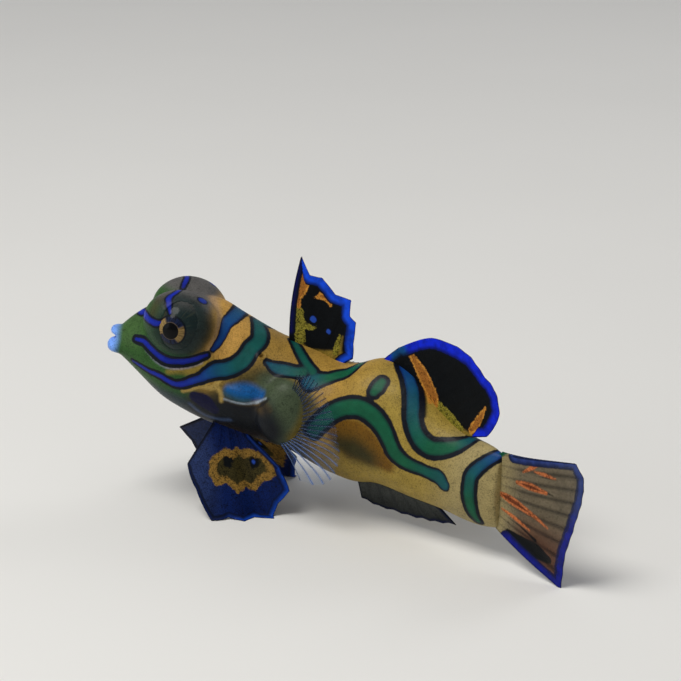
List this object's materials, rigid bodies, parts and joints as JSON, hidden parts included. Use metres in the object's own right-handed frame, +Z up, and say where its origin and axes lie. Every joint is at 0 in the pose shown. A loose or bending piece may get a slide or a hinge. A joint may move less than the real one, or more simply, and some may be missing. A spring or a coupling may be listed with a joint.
{
  "type": "mandarinfish",
  "caption": "Life-size still mandarinfish, propped on its spread pelvic fins and tail tip, for an aquarium scene or a natural-history display.",
  "frame": {"origin": "on the floor, under the middle of the fish's box", "axes": "+X from the snout towards the tail, +Y to the fish's right side, +Z up"},
  "size_m": [0.0552, 0.0187, 0.0265],
  "materials": {
    "skin": "wet scaleless skin, orange-tan with green and blue bands",
    "pectoral_base": "wet skin, dark olive",
    "eye": "clear wet cornea over a tan iris",
    "first_dorsal_fin": "black with orange patches and a blue margin",
    "second_dorsal_fin": "black with an orange streak and a blue margin",
    "anal_fin": "dusky translucent membrane with a blue margin",
    "tail_fin": "orange-brown membrane with darker rays and a blue margin",
    "pectoral_fin": "clear membrane with fine pale-blue rays",
    "pelvic_fin": "deep blue with a spotted orange-brown middle"
  },
  "bodies": {
    "root": {"head": "skin", "trunk": "skin", "tail_stalk": "skin", "pectoral_base_left": "pectoral_base", "pectoral_base_right": "pectoral_base", "eye_left": "eye", "eye_right": "eye", "first_dorsal_fin": "first_dorsal_fin", "second_dorsal_fin": "second_dorsal_fin", "anal_fin": "anal_fin", "tail_fin": "tail_fin", "pectoral_fin_left": "pectoral_fin", "pectoral_fin_right": "pectoral_fin", "pelvic_fin_left": "pelvic_fin", "pelvic_fin_right": "pelvic_fin"}
  },
  "joints": []
}
